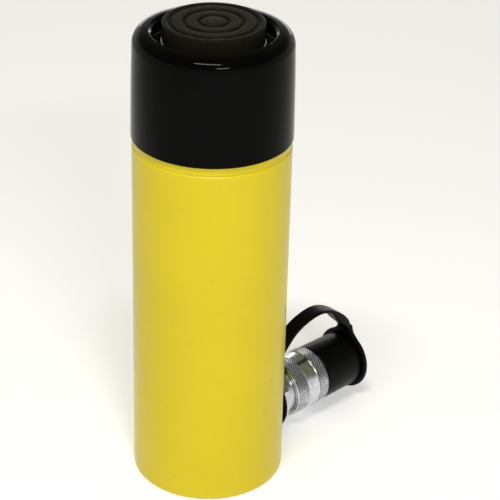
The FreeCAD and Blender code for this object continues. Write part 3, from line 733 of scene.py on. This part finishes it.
class CYLINDER_OT_coupler(bpy.types.Operator):
    """Plate the coupler body and build its knurled collar"""
    bl_idname = "cylinder.coupler"
    bl_label = "Coupler"

    def execute(self, context):
        dress("coupler_body", bright_zinc())
        settings = context.scene.cylinder_knurl
        plate = knurled_zinc(settings)
        root = COLLAR_R - settings.height
        rear_end = COLLAR_LOW.x + settings.rear_band
        front_start = rear_end + settings.plain_band
        plain = COLLAR_R - settings.plain_depth
        chamfer = 0.8 * MM
        edge = 0.6 * MM
        shoulder = COLLAR_R - 0.15 * MM
        crest = COLLAR_R - 0.1 * MM
        lip = COLLAR_R - 2.75 * MM
        rib = COLLAR_R - 4.75 * MM
        bore = COLLAR_R - 2.35 * MM
        rib_end, rib_start = rear_end - 0.7 * MM, rear_end - 6.1 * MM
        sleeve = lathe("collar_sleeve", rounded([
            (lip, COLLAR_LOW.x),
            (COLLAR_R - chamfer, COLLAR_LOW.x, 0.2 * MM),
            (shoulder, COLLAR_LOW.x + chamfer * 0.8, 0.15 * MM),
            (root, COLLAR_LOW.x + chamfer),
            (root, rear_end - 0.75 * MM),
            (crest, rear_end - edge, 0.12 * MM),
            (plain, rear_end, 0.3 * MM),
            (plain, front_start, 0.3 * MM),
            (crest, front_start + edge, 0.12 * MM),
            (root, front_start + 0.75 * MM),
            (root, COLLAR_HIGH.x - chamfer),
            (shoulder, COLLAR_HIGH.x - chamfer * 0.8, 0.15 * MM),
            (COLLAR_R - chamfer, COLLAR_HIGH.x, 0.2 * MM),
            (bore + edge, COLLAR_HIGH.x, 0.2 * MM),
            (bore, COLLAR_HIGH.x - edge),
            (bore, rib_end),
            (rib, rib_end),
            (rib, rib_start),
            (lip, rib_start),
        ], steps=4), "X", 168)
        width = math.tau * root / settings.teeth
        half_width = width * 0.46
        reach = width * settings.slope
        tree, names = knurl_tree(plate)
        bands = []
        for start, end in ((COLLAR_LOW.x + edge, rear_end - 0.55 * MM),
                           (front_start + 0.55 * MM, COLLAR_HIGH.x - edge)):
            rows = int((end - start) / (reach / 2)) - 1
            values = {"Teeth": settings.teeth, "Rows": rows, "Radius": root - 0.03 * MM, "Start": start,
                      "Row Step": (end - start) / (rows + 1), "Axis Height": COUPLER_Z,
                      "Half Width": half_width, "Height": settings.height + 0.02 * MM}
            bands.append(run_tree(tree, names, values, "knurl_band"))
        mesh = joined("knurled_collar", [sleeve] + bands)
        collar = to_piece("knurled_collar", mesh, plate, crease=20)
        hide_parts("coupler_collar")
        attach(collar, "collar")
        return {"FINISHED"}


class CYLINDER_OT_cap(bpy.types.Operator):
    """Mould the dust cap with its stud and button"""
    bl_idname = "cylinder.cap"
    bl_label = "Dust cap"

    def execute(self, context):
        settings = context.scene.cylinder_cap
        seat_gap = 0.3 * MM
        root_x = COLLAR_HIGH.x + seat_gap
        end_x = root_x + 28.0 * MM
        hollow_x = end_x - 4.0 * MM
        button_x = STRAP_HIGH.x + seat_gap
        shank = settings.shank_radius
        profile = rounded([
            (settings.bore_radius, CAP_LOW.x, 0.3 * MM),
            (shank, CAP_LOW.x, 0.5 * MM),
            (shank, root_x, 0.25 * MM),
            (settings.root_radius, root_x, 0.7 * MM),
            (settings.tip_radius, end_x, 1.0 * MM),
            (settings.stud_radius, end_x),
            (settings.stud_radius, button_x),
            (settings.button_radius, button_x, 0.5 * MM),
            (settings.button_radius - 0.9 * MM, CAP_HIGH.x, 1.4 * MM),
            (0, CAP_HIGH.x),
            (0, hollow_x),
            (settings.bore_radius, hollow_x, 2.0 * MM),
        ])
        cap = to_piece("moulded_cap", lathe("moulded_cap", profile, "X", 160), moulded_rubber())
        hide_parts("dust_cap")
        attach(cap, "cap")
        return {"FINISHED"}


class CYLINDER_OT_strap(bpy.types.Operator):
    """Mould the strap: an eye on the coupler, an arched band and an eye on the cap, in one piece"""
    bl_idname = "cylinder.strap"
    bl_label = "Strap"

    def execute(self, context):
        settings = context.scene.cylinder_strap
        rubber = moulded_rubber()
        neck_x = STRAP_LOW.x
        end_x = STRAP_HIGH.x
        neck_face = neck_x + 2.0 * MM
        end_face = end_x - 2.8 * MM
        neck_hole, end_hole = 8.8 * MM, 7.3 * MM
        parts = [
            strap_eye("neck_eye", neck_x, neck_face, neck_hole, settings.neck_eye),
            strap_eye("end_eye", end_face, end_x, end_hole, settings.end_eye),
            eye_tab("neck_tab", neck_x, neck_face, settings.neck_eye, settings),
            eye_tab("end_tab", end_face, end_x, settings.end_eye, settings),
            strap_band(settings),
        ]
        carrier = to_piece("strap_blank", joined("strap_blank", parts), rubber)
        skin = carrier.modifiers.new("skin", "REMESH")
        skin.mode = "VOXEL"
        skin.voxel_size = settings.grain
        soften = carrier.modifiers.new("soften", "SMOOTH")
        soften.factor = 0.5
        soften.iterations = 10
        strap = to_piece("moulded_strap", baked(carrier, "moulded_strap"), rubber, crease=80)
        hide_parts("cap_strap")
        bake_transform(strap)
        return {"FINISHED"}


def strap_eye(name, low, high, hole, rim):
    """A flat ring with a soft rim"""
    return lathe(name, rounded([(hole, low, 0.3 * MM), (rim, low, 0.6 * MM), (rim, high, 0.6 * MM),
                                (hole, high, 0.3 * MM)], steps=4), "X", 120)


def eye_tab(name, low, high, rim, settings):
    """Fills the corners where an eye's rim is drawn up into the width of the band"""
    side = settings.width / 2 + settings.fillet
    reach = rim + settings.fillet
    top = math.sqrt(reach ** 2 - side ** 2)
    first = math.atan2(-top, -side)
    flank = [(side * rim / reach, top * rim / reach - 4 * MM)]
    for step in range(9):
        turn = first + (-math.pi - first) * step / 8
        flank.append((side + settings.fillet * math.cos(turn), top + settings.fillet * math.sin(turn)))
    outline = flank + [(-across, up) for across, up in reversed(flank)]
    return swept(name, [[(along, across, COUPLER_Z + up) for across, up in outline] for along in (low, high)])


def strap_path(settings):
    """Points along the middle of the band: up from the neck eye, over the cap, down on the end eye"""
    start = Vector((STRAP_LOW.x + settings.thickness / 2, 0, COUPLER_Z + settings.neck_eye - 3 * MM))
    end = Vector((STRAP_HIGH.x - settings.thickness / 2, 0, COUPLER_Z + settings.end_eye))
    last = (end.z - start.z) / settings.rise
    poles = ((0, 0), (0, 0.136), (0.147, 0.307), (0.268, 0.752), (0.43, 0.953), (0.623, 1.043),
             (0.776, 0.87), (0.928, 0.58), (0.982, 0.34), (1, last))
    line = bpy.data.curves.new("strap_path", "CURVE")
    line.dimensions = "3D"
    spline = line.splines.new("NURBS")
    spline.points.add(len(poles) - 1)
    for spot, (along, up) in zip(spline.points, poles):
        spot.co = (start.x + (end.x - start.x) * along, 0, start.z + settings.rise * up, 1)
    spline.order_u = 4
    spline.use_endpoint_u = True
    spline.resolution_u = 12
    carrier = bpy.data.objects.new("strap_path", line)
    bpy.context.scene.collection.objects.link(carrier)
    mesh = baked(carrier, "strap_path")
    points = [vertex.co.copy() for vertex in mesh.vertices]
    bpy.data.meshes.remove(mesh)
    return points


def strap_band(settings):
    """The band, thickened on its inner side where it turns down"""
    points = strap_path(settings)
    points.append(points[-1] + (points[-1] - points[-2]).normalized() * 2 * MM)
    count = len(points)
    half = settings.width / 2
    sections = []
    for number, point in enumerate(points):
        along = (points[min(number + 1, count - 1)] - points[max(number - 1, 0)]).normalized()
        across = Vector((-along.z, 0, along.x))
        share = number / (count - 2)
        swell = math.sin(math.pi * min(1, max(0, (share - 0.7) / 0.3)))
        upper = point + across * settings.thickness / 2
        lower = point - across * (settings.thickness / 2 + settings.gusset * swell)
        side = Vector((0, half, 0))
        sections.append([upper + side, upper - side, lower - side, lower + side])
    return swept("strap_band", sections)


def camera_matrix(settings):
    """The camera's place and turn, with the coupler's own direction taken out"""
    pan, pitch, roll = settings.pan, settings.pitch, settings.roll
    forward = Vector((math.sin(pan) * math.cos(pitch), math.cos(pan) * math.cos(pitch), -math.sin(pitch)))
    level = Vector((math.cos(pan), -math.sin(pan), 0))
    upward = level.cross(forward)
    right = math.cos(roll) * level + math.sin(roll) * upward
    above = math.cos(roll) * upward - math.sin(roll) * level
    turned = Matrix((right, above, -forward)).transposed().to_4x4()
    turned.translation = Vector((0, -settings.distance, settings.height))
    return Matrix.Rotation(-settings.turn, 4, "Z") @ turned


# Softboxes: name, place as the camera sees it, size, watts
SOFTBOXES = (
    ("overhead_softbox", (-0.14, -0.62, 1.5), (0.66, 0.1), 12),
    ("front_softbox", (0.28, -1.15, 0.95), (0.36, 0.07), 5.5),
    ("back_softbox", (0.1, 1.6, 0.36), (1.2, 0.2), 2.5),
)


class CYLINDER_OT_stage(bpy.types.Operator):
    """Lay the floor, set the lights and place the camera"""
    bl_idname = "cylinder.stage"
    bl_label = "Stage"

    def execute(self, context):
        settings = context.scene.cylinder_stage
        pale_floor()
        pale_world(context.scene)
        turn = Matrix.Rotation(-settings.turn, 4, "Z")
        for name, place, size, power in SOFTBOXES:
            soft_light(name, turn @ Vector(place), size, power)
        data = bpy.data.cameras.new("photo_camera")
        data.lens = settings.lens
        data.sensor_width = 36
        data.clip_start = 0.01
        camera = bpy.data.objects.new("photo_camera", data)
        context.scene.collection.objects.link(camera)
        camera.matrix_world = camera_matrix(settings)
        context.scene.camera = camera
        context.scene.view_settings.view_transform = "Standard"
        return {"FINISHED"}


def pale_world(scene):
    """A studio seen as light: white round the horizon, falling to a dim, warm ceiling"""
    world = bpy.data.worlds.new("studio")
    scene.world = world
    world.use_nodes = True
    tree = world.node_tree
    tree.nodes.clear()
    direction = add(tree, "ShaderNodeTexCoord").outputs["Generated"]
    up = add(tree, "ShaderNodeSeparateXYZ", {0: direction}).outputs["Z"]
    share = add(tree, "ShaderNodeMapRange", {"Value": up, "From Min": 0.12, "From Max": 0.44},
                interpolation_type="SMOOTHSTEP")
    hue = add(tree, "ShaderNodeMix", {"Factor": share.outputs["Result"], "A": linear("#F5F6F8"),
                                      "B": linear("#7C7960")}, data_type="RGBA")
    light = add(tree, "ShaderNodeBackground", {"Color": hue.outputs["Result"], "Strength": 0.92})
    add(tree, "ShaderNodeOutputWorld", {"Surface": light.outputs[0]})


def pale_floor():
    """A white sweep: diffuse, with a little glow of its own so that it stays white round the soft shadow"""
    mesh = bpy.data.meshes.new("floor")
    half = 3.0
    corners = [(-half, -half, 0), (half, -half, 0), (half, half, 0), (-half, half, 0)]
    mesh.from_pydata(corners, [], [(0, 1, 2, 3)])
    floor = bpy.data.objects.new("floor", mesh)
    floor.location.z = BODY_LOW.z - 0.2 * MM
    bpy.context.scene.collection.objects.link(floor)
    material = bpy.data.materials.new("white_paper_sweep")
    material.use_nodes = True
    tree = material.node_tree
    tree.nodes.clear()
    path = add(tree, "ShaderNodeLightPath").outputs
    seen = add(tree, "ShaderNodeMath", {0: path["Is Camera Ray"], 1: path["Is Glossy Ray"]},
               operation="MAXIMUM")
    shown = add(tree, "ShaderNodeMath", {0: seen.outputs[0], 1: path["Is Transmission Ray"]},
                operation="MAXIMUM")
    level = add(tree, "ShaderNodeMath", {0: shown.outputs[0], 1: 0.34}, operation="MULTIPLY")
    glow = add(tree, "ShaderNodeEmission", {"Color": (1, 1, 1, 1), "Strength": level.outputs[0]})
    paper = add(tree, "ShaderNodeBsdfDiffuse", {"Color": linear("#F2F2F2")})
    both = add(tree, "ShaderNodeAddShader", {0: paper.outputs[0], 1: glow.outputs[0]})
    add(tree, "ShaderNodeOutputMaterial", {"Surface": both.outputs[0]})
    mesh.materials.append(material)


def soft_light(name, place, size, power):
    """A rectangular softbox that faces the middle of the cylinder and stays out of the picture"""
    data = bpy.data.lights.new(name, "AREA")
    data.shape = "RECTANGLE"
    data.size, data.size_y = size
    data.energy = power
    lamp = bpy.data.objects.new(name, data)
    lamp.visible_camera = False
    bpy.context.scene.collection.objects.link(lamp)
    middle = Vector((0, 0, 0.14))
    aim = middle - place
    lamp.matrix_world = Matrix.Translation(place) @ aim.to_track_quat("-Z", "Y").to_matrix().to_4x4()
    return lamp


class CYLINDER_PT_panel(bpy.types.Panel):
    """Lists the sizes, the colours and the steps"""
    bl_idname = "CYLINDER_PT_panel"
    bl_label = "Hydraulic cylinder"
    bl_space_type = "VIEW_3D"
    bl_region_type = "UI"
    bl_category = "Cylinder"

    def draw(self, context):
        for name, group in SETTINGS.items():
            box = self.layout.box()
            box.label(text=group.__doc__)
            for key in group.__annotations__:
                box.prop(getattr(context.scene, name), key)
        for step in STEPS:
            self.layout.operator(step.bl_idname)


STEPS = (CYLINDER_OT_body, CYLINDER_OT_protector, CYLINDER_OT_saddle, CYLINDER_OT_inside, CYLINDER_OT_springs,
         CYLINDER_OT_coupler, CYLINDER_OT_cap, CYLINDER_OT_strap, CYLINDER_OT_stage)


def register():
    for group in SETTINGS.values():
        bpy.utils.register_class(group)
    for name, group in SETTINGS.items():
        setattr(bpy.types.Scene, name, bpy.props.PointerProperty(type=group))
    for step in STEPS + (CYLINDER_PT_panel,):
        bpy.utils.register_class(step)


def unregister():
    for step in (CYLINDER_PT_panel,) + STEPS:
        bpy.utils.unregister_class(step)
    for name, group in SETTINGS.items():
        delattr(bpy.types.Scene, name)
        bpy.utils.unregister_class(group)


def main():
    register()
    bpy.ops.cylinder.body()
    bpy.ops.cylinder.protector()
    bpy.ops.cylinder.saddle()
    bpy.ops.cylinder.inside()
    bpy.ops.cylinder.springs()
    bpy.ops.cylinder.coupler()
    bpy.ops.cylinder.cap()
    bpy.ops.cylinder.strap()
    bpy.ops.cylinder.stage()


if __name__ == "__main__":
    main()
